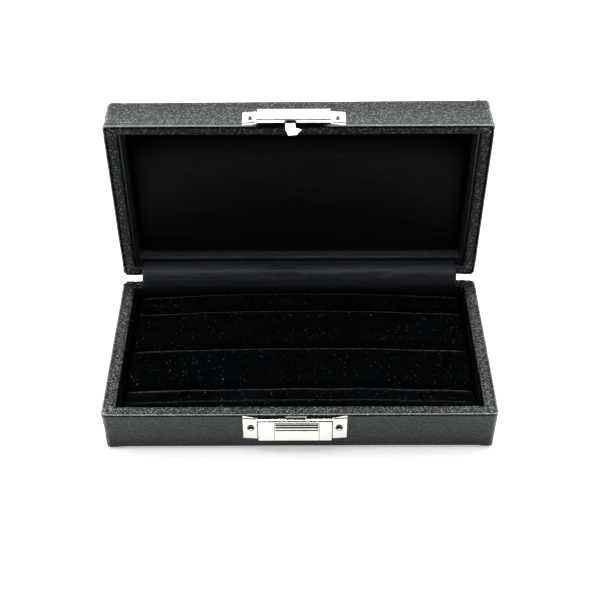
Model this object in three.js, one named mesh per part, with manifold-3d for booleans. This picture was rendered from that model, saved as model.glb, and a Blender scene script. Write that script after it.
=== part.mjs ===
// Hinged jewelry box for rings: two board trays wrapped in black leatherette, a padded satin lid,
// a slotted velvet ring pad and a nickel snap lock with a thumb slide.
// Millimetres, +Z up, front towards -Y. The origin is the centre of the underside.
// The box rests open: the lid stands at a right angle, held by its cloth gusset.

import * as THREE from 'three';
import { mergeVertices } from 'three/addons/utils/BufferGeometryUtils.js';
import Module from 'manifold-3d';

const wasm = await Module();
wasm.setup();

// ---------------------------------------------------------------- driving dimensions

const boxWidth = 165;
const boxDepth = 84;
const baseHeight = 21.6;
const lidHeight = 19;
const cornerRadius = 2;

const skin = 0.7; // leatherette
const layerGap = 0.15; // glue line between layers
const wallBoard = 3.1;
const floorBoard = 2.6;
const turnIn = 7; // leatherette folded over the rim and down the inside
const turnUnder = 9; // leatherette folded under the floor board
const sheetInset = 1.6; // closing sheet on the underside and on the lid's top

const linerCard = 1.2;
const linerBelowRim = 2.3;

const rimGap = 0.3; // between the two rims when the box is shut
const hingeBehind = 1.7; // fold line of the cloth hinge, behind the back face
const hingeWidth = 150;
const gussetOnLid = 5.5; // gusset glued to the lid's inner back wall
const gussetBehindPad = 9;
const clothThickness = 0.5;

const slitPitch = 24;
const slitWidth = 0.6;
const slitFloor = 9; // height of the slits' bottoms above the underside
const slitShift = 0.9; // the slits stand a little behind the pad's middle
const padTop = 17.4;
const padRound = 3.3;
const padEndGap = 1.1; // between the pad's ends and the liners
const velvet = 0.8;

const ceilingPad = 3.6; // padded panel under the lid's top
const ceilingRound = 2.2;
const ceilingCard = 1;

// The lock is measured on the front face: X from its middle, -Y outwards, Z up from the rim plane.
const latchOffset = -2.15; // the lock sits a little left of the middle
const sheetMetal = 0.6;
const bendRadius = 0.5;
const earProud = 1;
const housingProud = 2.2;
const housingHalf = 15.6;
const earHalf = 21.9;
const lipLean = 0.8; // how far a lip leans back for each millimetre of its height
const lipRoot = 0.15; // overlap of a lip with its ear
const shelfBack = -0.7; // the shelves stop short of the wall
const hookLayer = { back: -0.5, front: -1.1 }; // hook and bolt share one layer behind the slide

const lockTop = -0.7;
const lockShelf = -1.6;
const lockBottom = -14;
const screwPlaces = [-18.6, 18.6];
const screwShank = 0.6;
const screwHeight = -7.4;
const slideHalf = 9.3;
const slideOffset = 0.8; // the slide stands right of the lock's middle
const slideTop = -3;
const slideBottom = -13.7;
const slideProud = 2.45;
const slideTravel = 2;
const boltTravel = 1.8;
const hookSlot = [-3.8, 4.4];
const springFloor = -13.1;
const springTop = -9.5;
const springX = -7;

const catchShelf = 1.1;
const catchTop = 9.1;
const pinShank = 0.45;
const pinHeight = 4.6;

// ---------------------------------------------------------------- derived dimensions

const halfWidth = boxWidth / 2;
const halfDepth = boxDepth / 2;
const rimWidth = 2 * skin + 2 * layerGap + wallBoard;
const boardInset = skin + layerGap;
const sheetTop = skin;
const flangeBottom = sheetTop + 0.1;
const flangeTop = flangeBottom + skin;
const boardBottom = flangeTop + 0.1;
const trayFloor = boardBottom + floorBoard;
const linerFace = rimWidth + layerGap + linerCard;
const rampSlope = boltTravel / slideTravel;
const openGap = hingeBehind + rimGap / 2; // between the trays' back edges at rest
const lidRimY = halfDepth + openGap;
const lidBackZ = baseHeight + openGap;

// ---------------------------------------------------------------- materials

const material = (color, roughness, metalness = 0) =>
  new THREE.MeshStandardMaterial({ color, roughness, metalness });
const leatherette = material(0x2b2d2f, 0.55);
const paperBoard = material(0x34312d, 0.9);
const blackVelvet = material(0x08080a, 1);
const blackSatin = material(0x0e1014, 0.45);
const greyCard = material(0x6f6a60, 0.9);
const foam = material(0x3c3c40, 1);
const nickel = material(0xd9d6cf, 0.2, 1);
const steel = material(0x9b9c9e, 0.35, 1);

// ---------------------------------------------------------------- geometry helpers

function solidOf(geometry) {
  geometry.deleteAttribute('normal');
  geometry.deleteAttribute('uv');
  const merged = mergeVertices(geometry, 1e-4);
  const vertProperties = new Float32Array(merged.attributes.position.array);
  const triVerts = new Uint32Array(merged.index.array);
  return new wasm.Manifold(new wasm.Mesh({ numProp: 3, vertProperties, triVerts }));
}

function geometryOf(solid) {
  const { vertProperties, triVerts } = solid.getMesh();
  const geometry = new THREE.BufferGeometry();
  geometry.setAttribute('position', new THREE.BufferAttribute(new Float32Array(vertProperties), 3));
  geometry.setIndex(new THREE.BufferAttribute(new Uint32Array(triVerts), 1));
  geometry.computeVertexNormals();
  return geometry;
}

function add(group, name, solid, finish) {
  const mesh = new THREE.Mesh(geometryOf(solid), finish);
  mesh.name = name;
  group.add(mesh);
}

const union = (solids) => solids.reduce((total, solid) => total.add(solid));
const cut = (solid, tools) => tools.reduce((rest, tool) => rest.subtract(tool), solid);

function box([x0, x1], [y0, y1], [z0, z1]) {
  const geometry = new THREE.BoxGeometry(x1 - x0, y1 - y0, z1 - z0);
  geometry.translate((x0 + x1) / 2, (y0 + y1) / 2, (z0 + z1) / 2);
  return solidOf(geometry);
}

function roundedOutline(halfX, halfY, radius) {
  const shape = new THREE.Shape();
  shape.absarc(halfX - radius, halfY - radius, radius, 0, Math.PI / 2);
  shape.absarc(radius - halfX, halfY - radius, radius, Math.PI / 2, Math.PI);
  shape.absarc(radius - halfX, radius - halfY, radius, Math.PI, 1.5 * Math.PI);
  shape.absarc(halfX - radius, radius - halfY, radius, 1.5 * Math.PI, 2 * Math.PI);
  return shape;
}

function extruded(shape, depth, curveSegments = 5) {
  return new THREE.ExtrudeGeometry(shape, { depth, bevelEnabled: false, curveSegments });
}

// A block as large as the tray's outline, drawn in by `inset` all round.
function trayBlock(inset, [z0, z1]) {
  const radius = Math.max(cornerRadius - inset, 0.2);
  const geometry = extruded(roundedOutline(halfWidth - inset, halfDepth - inset, radius), z1 - z0);
  geometry.translate(0, 0, z0);
  return solidOf(geometry);
}

// A section drawn in Y and Z, run along X.
function alongX(points, [x0, x1]) {
  const shape = new THREE.Shape(points.map(([y, z]) => new THREE.Vector2(y, z)));
  const geometry = extruded(shape, x1 - x0);
  geometry.applyMatrix4(new THREE.Matrix4().makeBasis(
    new THREE.Vector3(0, 1, 0), new THREE.Vector3(0, 0, 1), new THREE.Vector3(1, 0, 0)));
  geometry.translate(x0, 0, 0);
  return solidOf(geometry);
}

// An outline drawn in X and Z, run along Y.
function alongY(points, [y0, y1]) {
  const shape = new THREE.Shape(points.map(([x, z]) => new THREE.Vector2(x, z)));
  const geometry = extruded(shape, y1 - y0);
  geometry.rotateX(Math.PI / 2);
  geometry.translate(0, y1, 0);
  return solidOf(geometry);
}

// An outline drawn in X and Y, run along Z.
function alongZ(points, [z0, z1]) {
  const shape = new THREE.Shape(points.map(([x, y]) => new THREE.Vector2(x, y)));
  const geometry = extruded(shape, z1 - z0);
  geometry.translate(0, 0, z0);
  return solidOf(geometry);
}

// A round pin, hole or head whose profile of [radius, distance] runs along +Y from the face.
function turned(profile, x, z, segments = 20) {
  const geometry = new THREE.LatheGeometry(profile.map(([r, y]) => new THREE.Vector2(r, y)), segments);
  geometry.translate(x, 0, z);
  return solidOf(geometry);
}

const roundHole = (radius, x, z, [y0, y1]) =>
  turned([[0, y0], [radius, y0], [radius, y1], [0, y1]], x, z);

// A strip of cloth: a smooth path in Y and Z through the given points, with a thickness.
function stripAlongX(path, thickness, [x0, x1], steps) {
  const curve = new THREE.CatmullRomCurve3(path.map(([y, z]) => new THREE.Vector3(y, z, 0)));
  const side = (sign) => curve.getSpacedPoints(steps).map((point, i) => {
    const tangent = curve.getTangentAt(i / steps);
    return [point.x - sign * tangent.y * thickness / 2, point.y + sign * tangent.x * thickness / 2];
  });
  return alongX([...side(-1), ...side(1).reverse()], [x0, x1]);
}

// ---------------------------------------------------------------- trays, shared by base and lid

// A tray stands on z = 0 with its rim at `height`; holes are made in its front wall by `bores`.
function addTray(group, names, height, frontSign, bores) {
  const boardTop = height - boardInset;
  const walls = trayBlock(boardInset, [boardBottom, boardTop])
    .subtract(trayBlock(boardInset + wallBoard, [boardBottom - 1, boardTop + 1]));
  const sideJoint = halfDepth - boardInset - wallBoard;
  const slab = (y0, y1) => walls.intersect(box([-halfWidth, halfWidth], [y0, y1], [0, height]));
  const end = (x0, x1) => walls.intersect(
    box([x0, x1], [-sideJoint + 0.1, sideJoint - 0.1], [0, height]));
  const front = frontSign < 0 ? slab(-halfDepth, -sideJoint) : slab(sideJoint, halfDepth);
  const back = frontSign < 0 ? slab(sideJoint, halfDepth) : slab(-halfDepth, -sideJoint);
  add(group, names.front, cut(front, bores), paperBoard);
  add(group, names.back, back, paperBoard);
  add(group, names.left, end(-halfWidth, 0), paperBoard);
  add(group, names.right, end(0, halfWidth), paperBoard);
  const floor = trayBlock(boardInset + wallBoard + 0.1, [boardBottom, trayFloor]);
  add(group, names.floor, floor, paperBoard);
  add(group, names.cover, cut(trayCover(height), bores), leatherette);
  add(group, names.sheet, trayBlock(sheetInset, [0, sheetTop]), leatherette);
}

// Leatherette wrapped round the walls: under the floor board, up the outside, over the rim, down inside.
function trayCover(height) {
  const turnInBottom = height - turnIn;
  const outside = trayBlock(0, [flangeBottom, height]);
  const boardSpace = trayBlock(skin, [flangeTop, height - skin])
    .subtract(trayBlock(rimWidth - skin, [turnInBottom, height]));
  const mouth = trayBlock(rimWidth, [turnInBottom - 1, height + 1]);
  const underHole = trayBlock(turnUnder, [0, flangeTop + 1]);
  return cut(outside, [boardSpace, mouth, underHole]);
}

// ---------------------------------------------------------------- base

function addBase(root) {
  const group = new THREE.Group();
  root.add(group);
  const names = {
    floor: 'base_floor_board',
    front: 'base_front_wall',
    back: 'base_back_wall',
    left: 'base_left_wall',
    right: 'base_right_wall',
    cover: 'base_cover',
    sheet: 'base_bottom_sheet',
  };
  const bores = screwPlaces.map((x) => {
    const bore = roundHole(screwShank + 0.3, latchOffset + x, baseHeight + screwHeight, [-1, 3.5]);
    return bore.translate([0, -halfDepth, 0]);
  });
  addTray(group, names, baseHeight, -1, bores);
  addBaseLiners(group);
  addRingPad(group);
}

// Velvet-wrapped cards stand against the front and the two ends.
function addBaseLiners(group) {
  const bottom = trayFloor + 0.1;
  const top = baseHeight - linerBelowRim;
  const back = rimWidth + layerGap;
  const endX = [halfWidth - linerFace, halfWidth - back];
  const endY = [-halfDepth + back, halfDepth - rimWidth - layerGap];
  const frontX = halfWidth - linerFace - 0.1;
  add(group, 'base_liner_left', box([-endX[1], -endX[0]], endY, [bottom, top]), blackVelvet);
  add(group, 'base_liner_right', box(endX, endY, [bottom, top]), blackVelvet);
  const frontY = [-halfDepth + back, -halfDepth + linerFace];
  add(group, 'base_liner_front', box([-frontX, frontX], frontY, [bottom, top]), blackVelvet);
}

// Section of the ring pad in Y and Z: ribs with rounded shoulders, parted by slits.
function padSection(front, back, bottom, top, shoulder, slitHalf, slitBottom) {
  const middle = (front + back) / 2 + slitShift;
  const slits = [middle - slitPitch, middle, middle + slitPitch];
  const edges = [front, ...slits.flatMap((y) => [y - slitHalf, y + slitHalf]), back];
  const points = [[front, bottom]];
  for (let rib = 0; rib < edges.length; rib += 2) {
    const [y0, y1] = [edges[rib], edges[rib + 1]];
    if (rib > 0) points.push([y0, slitBottom]);
    points.push(...shoulderArc(y0 + shoulder, top - shoulder, shoulder, Math.PI, Math.PI / 2));
    points.push(...shoulderArc(y1 - shoulder, top - shoulder, shoulder, Math.PI / 2, 0));
    if (rib + 2 < edges.length) points.push([y1, slitBottom]);
  }
  points.push([back, bottom]);
  return points.reverse();
}

function shoulderArc(y, z, radius, from, to, steps = 4) {
  return Array.from({ length: steps + 1 }, (_, i) => {
    const angle = from + (to - from) * i / steps;
    return [y + radius * Math.cos(angle), z + radius * Math.sin(angle)];
  });
}

// Foam block with three slits, its velvet tucked into them, on a stiff card.
function addRingPad(group) {
  const halfX = halfWidth - linerFace - padEndGap;
  const front = -halfDepth + linerFace + 0.25;
  const back = halfDepth - rimWidth - clothThickness - 0.5;
  const cardTop = trayFloor + 1.3;
  const foamBottom = cardTop + 0.1;
  add(group, 'ring_pad_card', box([-halfX, halfX], [front, back], [trayFloor + 0.1, cardTop]), greyCard);

  const wrap = velvet + 0.1;
  const foamSection = padSection(front + wrap, back - wrap, foamBottom, padTop - wrap,
    padRound - wrap, slitWidth / 2 + wrap, slitFloor - wrap);
  add(group, 'ring_pad_foam', alongX(foamSection, [-halfX + wrap, halfX - wrap]), foam);

  const outer = alongX(padSection(front, back, foamBottom, padTop, padRound, slitWidth / 2, slitFloor),
    [-halfX, halfX]);
  const inner = alongX(padSection(front + velvet, back - velvet, foamBottom - 1, padTop - velvet,
    padRound - velvet, slitWidth / 2 + velvet, slitFloor - velvet), [-halfX + velvet, halfX - velvet]);
  add(group, 'ring_pad_velvet', outer.subtract(inner), blackVelvet);
}

// ---------------------------------------------------------------- lid

// The lid's group stands as a tray lying on its back: its rim faces the front and its front wall is on top.
function addLid(root) {
  const group = new THREE.Group();
  group.rotation.x = Math.PI / 2;
  group.position.set(0, lidRimY + lidHeight, lidBackZ + halfDepth);
  root.add(group);
  const names = {
    floor: 'lid_top_board',
    front: 'lid_front_wall',
    back: 'lid_back_wall',
    left: 'lid_left_wall',
    right: 'lid_right_wall',
    cover: 'lid_cover',
    sheet: 'lid_top_sheet',
  };
  const bores = screwPlaces.map((x) => {
    const bore = roundHole(pinShank + 0.3, latchOffset + x, lidHeight - pinHeight, [-3.5, 1]);
    return bore.translate([0, halfDepth, 0]);
  });
  addTray(group, names, lidHeight, 1, bores);
  addLidLiners(group);
  addCeilingPad(group);
  addCatch(group);
}

// Satin-wrapped cards line all four walls; the back one is short and holds down the gusset's edge.
function addLidLiners(group) {
  const bottom = trayFloor + 0.1;
  const top = lidHeight - linerBelowRim;
  const outer = rimWidth + layerGap;
  const acrossX = halfWidth - linerFace - 0.1;
  const endX = [halfWidth - linerFace, halfWidth - outer];
  const endY = [outer - halfDepth, halfDepth - outer];
  add(group, 'lid_liner_left', box([-endX[1], -endX[0]], endY, [bottom, top]), blackSatin);
  add(group, 'lid_liner_right', box(endX, endY, [bottom, top]), blackSatin);
  const frontY = [halfDepth - linerFace, halfDepth - outer];
  add(group, 'lid_liner_front', box([-acrossX, acrossX], frontY, [bottom, top]), blackSatin);
  const backTop = lidHeight - gussetOnLid - 0.5;
  const backY = [outer - halfDepth, linerFace - halfDepth];
  add(group, 'lid_liner_back', box([-acrossX, acrossX], backY, [bottom, backTop]), blackSatin);
}

// Domed panel: stacked outlines that draw in towards the face follow a quarter round.
function roundedPanel(halfX, halfY, [bottom, top], radius, steps = 4) {
  const layers = [[0, bottom], ...shoulderArc(-radius, 0, radius, 0, Math.PI / 2, steps)
    .map(([x, z]) => [-x, top - radius + z])];
  const positions = [];
  const index = [];
  const corners = 4;
  for (const [inset, z] of layers) {
    const x = halfX - inset;
    const y = halfY - inset;
    positions.push(-x, -y, z, x, -y, z, x, y, z, -x, y, z);
  }
  for (let layer = 0; layer + 1 < layers.length; layer += 1) {
    for (let i = 0; i < corners; i += 1) {
      const a = layer * corners + i;
      const b = layer * corners + (i + 1) % corners;
      index.push(a, b, b + corners, a, b + corners, a + corners);
    }
  }
  const last = (layers.length - 1) * corners;
  index.push(0, 2, 1, 0, 3, 2, last, last + 1, last + 2, last, last + 2, last + 3);
  const geometry = new THREE.BufferGeometry();
  geometry.setAttribute('position', new THREE.Float32BufferAttribute(positions, 3));
  geometry.setIndex(index);
  return solidOf(geometry);
}

// Foam on a card, covered with satin: the soft ceiling of the lid.
function addCeilingPad(group) {
  const halfX = halfWidth - linerFace - 0.3;
  const halfY = halfDepth - linerFace - 0.3;
  const cardBottom = trayFloor + 0.1;
  const cardTop = cardBottom + ceilingCard;
  const padFace = cardBottom + ceilingCard + ceilingPad;
  const wrap = clothThickness + 0.1;
  const card = box([wrap - halfX, halfX - wrap], [wrap - halfY, halfY - wrap], [cardBottom, cardTop]);
  add(group, 'lid_ceiling_card', card, greyCard);
  const foamPad = roundedPanel(halfX - wrap, halfY - wrap, [cardTop + 0.1, padFace - wrap],
    ceilingRound - wrap);
  add(group, 'lid_ceiling_foam', foamPad, foam);
  const outside = roundedPanel(halfX, halfY, [cardBottom, padFace], ceilingRound);
  const inside = roundedPanel(halfX - clothThickness, halfY - clothThickness,
    [cardBottom - 1, padFace - clothThickness], ceilingRound - clothThickness);
  add(group, 'lid_ceiling_satin', outside.subtract(inside), blackSatin);
}

// ---------------------------------------------------------------- snap lock

// Section in X and Y of a pressed plate: flat ears and a raised middle, with rounded bends.
function pressedSection() {
  const earBack = sheetMetal - earProud;
  const faceBack = sheetMetal - housingProud;
  const innerHalf = housingHalf - sheetMetal;
  const outerLeft = [
    [-earHalf, earBack],
    [-earHalf, -earProud],
    [-housingHalf - 0.3, -earProud],
    [-housingHalf, -earProud - 0.3],
    ...bendArc(-housingHalf + bendRadius, -housingProud + bendRadius),
  ];
  const innerLeft = [[-innerHalf, earBack], [-innerHalf, faceBack + 0.2], [-innerHalf + 0.2, faceBack]];
  const flipped = (points) => points.map(([x, y]) => [-x, y]);
  return [
    ...outerLeft,
    ...flipped(outerLeft).reverse(),
    ...flipped(innerLeft),
    ...innerLeft.reverse(),
  ];
}

// Rounded bend from a side wall into the raised face.
function bendArc(x, y, steps = 3) {
  return Array.from({ length: steps + 1 }, (_, i) => {
    const angle = Math.PI + (Math.PI / 2) * i / steps;
    return [x + bendRadius * Math.cos(angle), y + bendRadius * Math.sin(angle)];
  });
}

// Shelf bent back from the raised middle along the rim, with a slot for the hook.
function slottedShelf(z0, z1, slot) {
  const shelf = box([-housingHalf, housingHalf], [-housingProud, shelfBack], [z0, z1]);
  return shelf.subtract(box(slot, [-1.75, -0.3], [z0 - 1, z1 + 1]));
}

// A lip bent back from an ear's edge towards the wall; it runs out to nothing at the housing.
function earLip(side, edge, tip) {
  const slope = Math.sign(tip - edge);
  const innerX = side * (housingHalf + 0.2);
  const outline = [
    [side * earHalf, -slope * lipRoot],
    [innerX, -slope * lipRoot],
    [innerX, slope * 0.35],
    [side * (earHalf - 0.8), tip - edge],
    [side * earHalf, tip - edge],
  ];
  const lean = new THREE.Matrix4().makeShear(0, 0, 0, 0, 0, slope * lipLean);
  const slab = alongY(outline, [-earProud, sheetMetal - earProud])
    .transform([...lean.elements])
    .translate([0, 0, edge]);
  return slab.subtract(box([-boxWidth, boxWidth], [-0.12, 5], [-boxWidth, boxWidth]));
}

function addLock(root) {
  const group = new THREE.Group();
  group.position.set(latchOffset, -halfDepth, baseHeight);
  root.add(group);
  addLockPlate(group);
  addBackPlate(group);
  addThumbSlide(group);
  addLatchBolt(group);
  addSlideSpring(group);
  addLockScrews(group);
}

function addLockPlate(group) {
  const pressed = alongZ(pressedSection(), [lockBottom, lockShelf]);
  const windowX = [slideOffset - slideHalf - 0.2, slideOffset + slideHalf + 0.2];
  const windowCut = box(windowX, [-3, -1.2], [lockBottom - 1, slideTop + 0.15]);
  const shelf = slottedShelf(lockShelf - sheetMetal, lockShelf, hookSlot);
  const lips = [-1, 1].map((side) => earLip(side, lockShelf, lockTop));
  const holes = screwPlaces.map((x) => roundHole(screwShank + 0.35, x, screwHeight, [-2, 1]));
  add(group, 'lock_plate', cut(union([pressed.subtract(windowCut), shelf, ...lips]), holes), nickel);
}

// Flat plate behind the mechanism: a tab behind the slot, a rib under the bolt, a seat for the spring.
function addBackPlate(group) {
  const plateTop = lockShelf - sheetMetal - 0.1;
  const plate = box([-14.6, 14.6], [-0.4, -0.1], [lockBottom + 0.3, plateTop]);
  const tab = box([-3.9, 4.9], [-0.4, -0.1], [plateTop - 0.1, lockTop - 0.2]);
  const boltRib = box([4.3, 5.4], [-1.05, -0.2], [-5, -4.4]);
  const springSeat = box([-8, -6], [-1.45, -0.2], [springFloor - 0.5, springFloor]);
  add(group, 'lock_back_plate', union([plate, tab, boltRib, springSeat]), steel);
}

// The cap shows in the plate's window; wings behind the plate hold it and a lug drives the bolt.
function addThumbSlide(group) {
  const capX = [slideOffset - slideHalf, slideOffset + slideHalf];
  const cap = box(capX, [-slideProud, -1.5], [slideBottom, slideTop]);
  const wings = [[capX[0] - 1.4, -5.6], [5.6, capX[1] + 1.4]]
    .map((xs) => box(xs, [-1.55, -1.2], [springTop + 0.1, slideTop - 2.6]));
  const springFoot = box([-8, -6], [-1.55, -0.55], [springTop + 0.1, springTop + 1.1]);
  const lug = alongY([[5.7, -8.6], [6.86, -8.6], [9.2, -6], [5.7, -6]], [-1.25, -0.55]);
  const hookRoom = box([-5.5, 5.5], [-1.75, -1], [lockBottom - 1, slideTop + 1]);
  const grooves = [-3.85, -5.4, -7.2].map((z) => gripGroove(z));
  const body = cut(union([cap, ...wings, springFoot, lug]), [hookRoom, ...grooves]);
  add(group, 'thumb_slide', body, nickel);
}

// A shallow V groove across the slide's cap.
function gripGroove(z) {
  const mouth = -slideProud - 0.1;
  const outline = [[mouth, z - 0.5], [mouth, z + 0.5], [mouth + 0.5, z]];
  return alongX(outline.reverse(), [slideOffset - slideHalf + 0.25, slideOffset + slideHalf - 0.25]);
}

// Spring bolt under the shelf: bevelled nose, and a leg whose sloping face the slide's lug pushes.
function addLatchBolt(group) {
  const rampX = (z) => 8.5 + rampSlope * (z + 7);
  const outline = [
    [3.5, -4.25], [rampX(-4.25), -4.25], [rampX(-9), -9], [12.4, -9], [12.4, -2.35], [4.9, -2.35],
    [3.5, -3.4],
  ];
  const thickness = [hookLayer.front + 0.05, hookLayer.back - 0.05];
  add(group, 'latch_bolt', alongY(outline, thickness), nickel);
}

// Coil spring that lifts the slide: a helix of fine wire between the seat and the slide's foot.
class Helix extends THREE.Curve {
  getPoint(t) {
    const turns = 6;
    const radius = 0.36;
    const wire = 0.1;
    const angle = 2 * Math.PI * turns * t;
    const low = springFloor + wire + 0.05;
    const high = springTop - wire - 0.05;
    return new THREE.Vector3(springX + radius * Math.cos(angle), -1 + radius * Math.sin(angle),
      low + (high - low) * t);
  }
}

function addSlideSpring(group) {
  const wireSection = new THREE.Shape();
  wireSection.absarc(0, 0, 0.1, 0, 2 * Math.PI);
  const geometry = new THREE.ExtrudeGeometry(wireSection,
    { steps: 72, curveSegments: 3, extrudePath: new Helix() });
  add(group, 'slide_spring', solidOf(geometry), steel);
}

// Round-head wood screws with a slot.
function addLockScrews(group) {
  const face = -earProud - 0.05;
  const head = [[0, face - 1], [0.75, face - 0.9], [1.3, face - 0.6], [1.65, face]];
  const profile = [...head, [screwShank, face], [screwShank, 2.8], [0, 3.5]];
  const names = ['lock_screw_left', 'lock_screw_right'];
  screwPlaces.forEach((x, i) => {
    const slot = box([x - 2, x + 2], [face - 2, face - 0.55], [screwHeight - 0.2, screwHeight + 0.2]);
    add(group, names[i], turned(profile, x, screwHeight, 28).subtract(slot), nickel);
  });
}

// ---------------------------------------------------------------- catch on the lid

// Same layout as the lock, seen with the lid shut: Z is the height above the lid's rim plane.
function addCatch(lidGroup) {
  const group = new THREE.Group();
  group.rotation.x = Math.PI;
  group.position.set(latchOffset, halfDepth, lidHeight);
  lidGroup.add(group);
  addCatchPlate(group);
  addHook(group);
  addCatchPins(group);
}

function addCatchPlate(group) {
  const pressed = alongZ(pressedSection(), [catchShelf, catchTop]);
  const shelf = slottedShelf(catchShelf, catchShelf + sheetMetal, [-4, 1.1]);
  const roof = box([-housingHalf, housingHalf], [-housingProud, -layerGap],
    [catchTop - sheetMetal, catchTop]);
  const lips = [-1, 1].map((side) => earLip(side, catchShelf, 0.1));
  const holes = screwPlaces.map((x) => roundHole(pinShank + 0.35, x, pinHeight, [-2, 1]));
  add(group, 'catch_plate', cut(union([pressed, shelf, roof, ...lips]), holes), nickel);
}

// Tongue with a barb to the right; its root is thick and welded inside the catch plate.
function addHook(group) {
  const outline = [
    [-3.6, 7.5], [-3.6, -4.2], [-2.4, -8.5], [1.3, -7.9], [3.25, -4.9], [1.9, -3.9], [0.7, -3.9], [0.7, 7.5],
  ];
  const tongue = alongY(outline, [hookLayer.front, hookLayer.back]);
  const root = box([-3.6, 0.7], [-1.45, hookLayer.back], [catchShelf + sheetMetal + 0.2, 7.5]);
  add(group, 'catch_hook', tongue.add(root), nickel);
}

// Headed pins, their heads a little dished.
function addCatchPins(group) {
  const face = -earProud - 0.05;
  const profile = [
    [0, face - 0.2], [0.5, face - 0.28], [0.95, face - 0.32], [1.3, face - 0.2], [1.45, face],
    [pinShank, face], [pinShank, 2.6], [0, 3.3],
  ];
  const names = ['catch_pin_left', 'catch_pin_right'];
  screwPlaces.forEach((x, i) => add(group, names[i], turned(profile, x, pinHeight), nickel));
}

// ---------------------------------------------------------------- cloth hinge

// Leatherette spine outside and satin gusset inside, drawn as they lie with the lid open.
function addHinge(root) {
  const half = hingeWidth / 2;
  const spineOff = skin / 2 + 0.1;
  const spine = [
    [halfDepth + spineOff, baseHeight - 8],
    [halfDepth + spineOff, baseHeight - 4],
    [halfDepth + spineOff, baseHeight - 1.5],
    [halfDepth + 0.75, baseHeight + 0.25],
    [halfDepth + 1.45, baseHeight + 1.1],
    [lidRimY + 1.2, lidBackZ - spineOff],
    [lidRimY + 3.5, lidBackZ - spineOff],
    [lidRimY + 8, lidBackZ - spineOff],
  ];
  add(root, 'hinge_spine', stripAlongX(spine, skin, [-half, half], 24), leatherette);

  const clothOff = clothThickness / 2 + 0.15;
  const insideY = halfDepth - rimWidth - clothOff;
  const insideZ = lidBackZ + rimWidth + clothOff;
  const gusset = [
    [lidRimY + gussetOnLid, insideZ],
    [lidRimY + 2.5, insideZ],
    [lidRimY + 0.4, insideZ + 0.05],
    [halfDepth - 1.4, baseHeight + 4.6],
    [insideY + 0.4, baseHeight + 1.3],
    [insideY - 0.1, baseHeight - 0.6],
    [insideY, baseHeight - 3],
    [insideY, baseHeight - gussetBehindPad],
  ];
  add(root, 'hinge_gusset', stripAlongX(gusset, clothThickness, [-half, half], 28), blackSatin);
}

// ---------------------------------------------------------------- assembly

const jewelryBox = new THREE.Group();
addBase(jewelryBox);
addLock(jewelryBox);
addLid(jewelryBox);
addHinge(jewelryBox);

export default jewelryBox;
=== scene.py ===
"""Looks of a hinged jewelry box: grained leatherette over boards, a padded satin lid, a slotted velvet
ring pad and a nickel snap lock. Shapes are worked out in millimetres in the row frame."""

import math

import bmesh
import bpy
import numpy as np
from mathutils import Matrix, Vector, noise


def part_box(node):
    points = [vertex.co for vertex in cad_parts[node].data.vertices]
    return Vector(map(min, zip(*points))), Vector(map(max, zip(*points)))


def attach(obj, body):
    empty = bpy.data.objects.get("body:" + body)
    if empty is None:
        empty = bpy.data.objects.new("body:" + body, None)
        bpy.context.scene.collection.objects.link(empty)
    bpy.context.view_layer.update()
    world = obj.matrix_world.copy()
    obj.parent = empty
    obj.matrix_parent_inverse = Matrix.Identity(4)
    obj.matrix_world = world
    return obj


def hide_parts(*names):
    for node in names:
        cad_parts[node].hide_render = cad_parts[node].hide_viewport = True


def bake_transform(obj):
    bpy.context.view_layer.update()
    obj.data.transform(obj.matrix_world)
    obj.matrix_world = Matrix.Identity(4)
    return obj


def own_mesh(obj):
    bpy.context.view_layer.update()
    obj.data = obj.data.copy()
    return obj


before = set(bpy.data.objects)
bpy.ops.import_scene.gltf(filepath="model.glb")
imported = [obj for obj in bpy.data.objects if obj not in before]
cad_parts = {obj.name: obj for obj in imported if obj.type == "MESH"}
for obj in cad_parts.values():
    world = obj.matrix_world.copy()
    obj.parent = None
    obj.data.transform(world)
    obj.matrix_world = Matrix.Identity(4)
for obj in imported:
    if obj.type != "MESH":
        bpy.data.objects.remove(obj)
scene = bpy.context.scene
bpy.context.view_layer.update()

MM = 0.001
COINCIDE = 1e-6


# ---------------- sizes read from the frame, in mm

def span(node):
    """Lowest and highest corner of a CAD node, in mm."""
    low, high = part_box(node)
    return np.array(low) / MM, np.array(high) / MM


def middle_x(node):
    low, high = span(node)
    return (low[0] + high[0]) / 2


base_low, base_high = span("base_cover")
lid_low = span("lid_cover")[0]
HALF_W = base_high[0]
HALF_D = base_high[1]
BASE_RIM = base_high[2]
LID_RIM_Y = lid_low[1]
LID_BACK_Z = lid_low[2]
LID_TOP_Y = span("lid_top_sheet")[1][1]
LID_HEIGHT = LID_TOP_Y - LID_RIM_Y
COVER_BOTTOM = base_low[2]
RIM_WIDTH = 4.8
SKIN = 0.65
CORNER = 2.0
CORNER_ZONE = 7.0
FOLD_DOWN = 7.0
FOLD_UNDER = 9.0
SLIT_PITCH = 24.0
GUSSET_CLOTH = 0.32
SPINE_CLOTH = 0.6

# How far the wraps stand off the left and right walls, and the lid's top off its board at the left end,
# with what the lid's twist adds towards the right end.
SIDE_PUFF = (0.7, 0.5)
TOP_PUFF = 0.35
LID_TWIST = 1.35

# The stamped plates, in mm from their middle: the raised face ends at the step, and the ears begin.
PLATE_STEP = 15.8
EAR_START = 16.2


def base_place(points):
    """Base tray coordinates are the row frame's."""
    return np.asarray(points, float)


def lid_place(points):
    """From a tray lying on its back, rim up, to the open lid: its rim faces the front. The lid is slightly
    twisted, so that its top stands off further at the right end."""
    p = np.asarray(points, float)
    rightwards = 0.5 + 0.5 * p[:, 0] / HALF_W
    twist = (TOP_PUFF + LID_TWIST * rightwards) * np.clip(1 - p[:, 2] / LID_HEIGHT, 0, 1)
    return np.stack([p[:, 0], LID_RIM_Y + LID_HEIGHT - p[:, 2] + twist, LID_BACK_Z + HALF_D + p[:, 1]], 1)


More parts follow.
